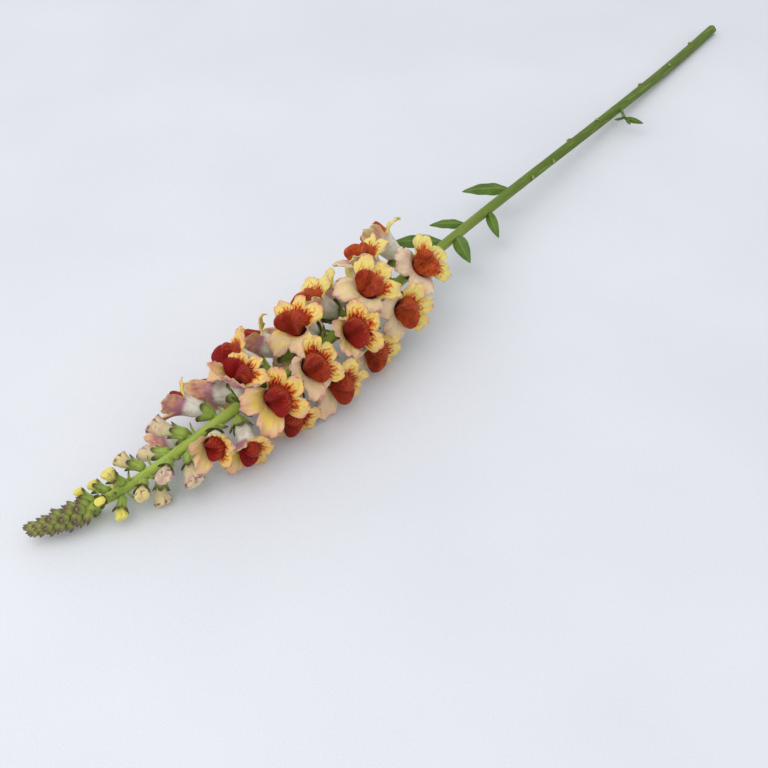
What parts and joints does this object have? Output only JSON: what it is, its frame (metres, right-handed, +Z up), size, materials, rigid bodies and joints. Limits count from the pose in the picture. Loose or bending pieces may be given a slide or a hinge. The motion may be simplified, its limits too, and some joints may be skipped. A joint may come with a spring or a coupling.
{
  "type": "cut snapdragon stem",
  "caption": "Cut snapdragon stem lying down: a bare green stalk, a few leaves and a dense spike of bicoloured two-lipped florets, with buds towards the tip.",
  "frame": {"origin": "middle of the bounding box's base, on the surface that the stem lies on", "axes": "+X from the tip of the spike towards the cut end, +Z up, +Y to the side that the tip hooks towards"},
  "size_m": [0.7224, 0.0724, 0.0568],
  "materials": {
    "stem_green": "satin, finely downy",
    "bud_cream": "matte petal",
    "floret_apricot": "velvety matte petal"
  },
  "bodies": {
    "root": {"leafy_stem": "stem_green", "bud_01": "bud_cream", "bud_02": "bud_cream", "bud_03": "bud_cream", "bud_04": "bud_cream", "bud_05": "bud_cream", "bud_06": "bud_cream", "bud_07": "bud_cream", "bud_08": "bud_cream", "bud_09": "bud_cream", "bud_10": "bud_cream", "bud_11": "bud_cream", "bud_12": "bud_cream", "bud_13": "bud_cream", "bud_14": "bud_cream", "floret_01": "floret_apricot", "floret_02": "floret_apricot", "floret_03": "floret_apricot", "floret_04": "floret_apricot", "floret_05": "floret_apricot", "floret_06": "floret_apricot", "floret_07": "floret_apricot", "floret_08": "floret_apricot", "floret_09": "floret_apricot", "floret_10": "floret_apricot", "floret_11": "floret_apricot", "floret_12": "floret_apricot", "floret_13": "floret_apricot", "floret_14": "floret_apricot", "floret_15": "floret_apricot", "floret_16": "floret_apricot", "floret_17": "floret_apricot", "floret_18": "floret_apricot", "floret_19": "floret_apricot", "floret_20": "floret_apricot", "floret_21": "floret_apricot", "floret_22": "floret_apricot", "floret_23": "floret_apricot", "floret_24": "floret_apricot"}
  },
  "joints": []
}
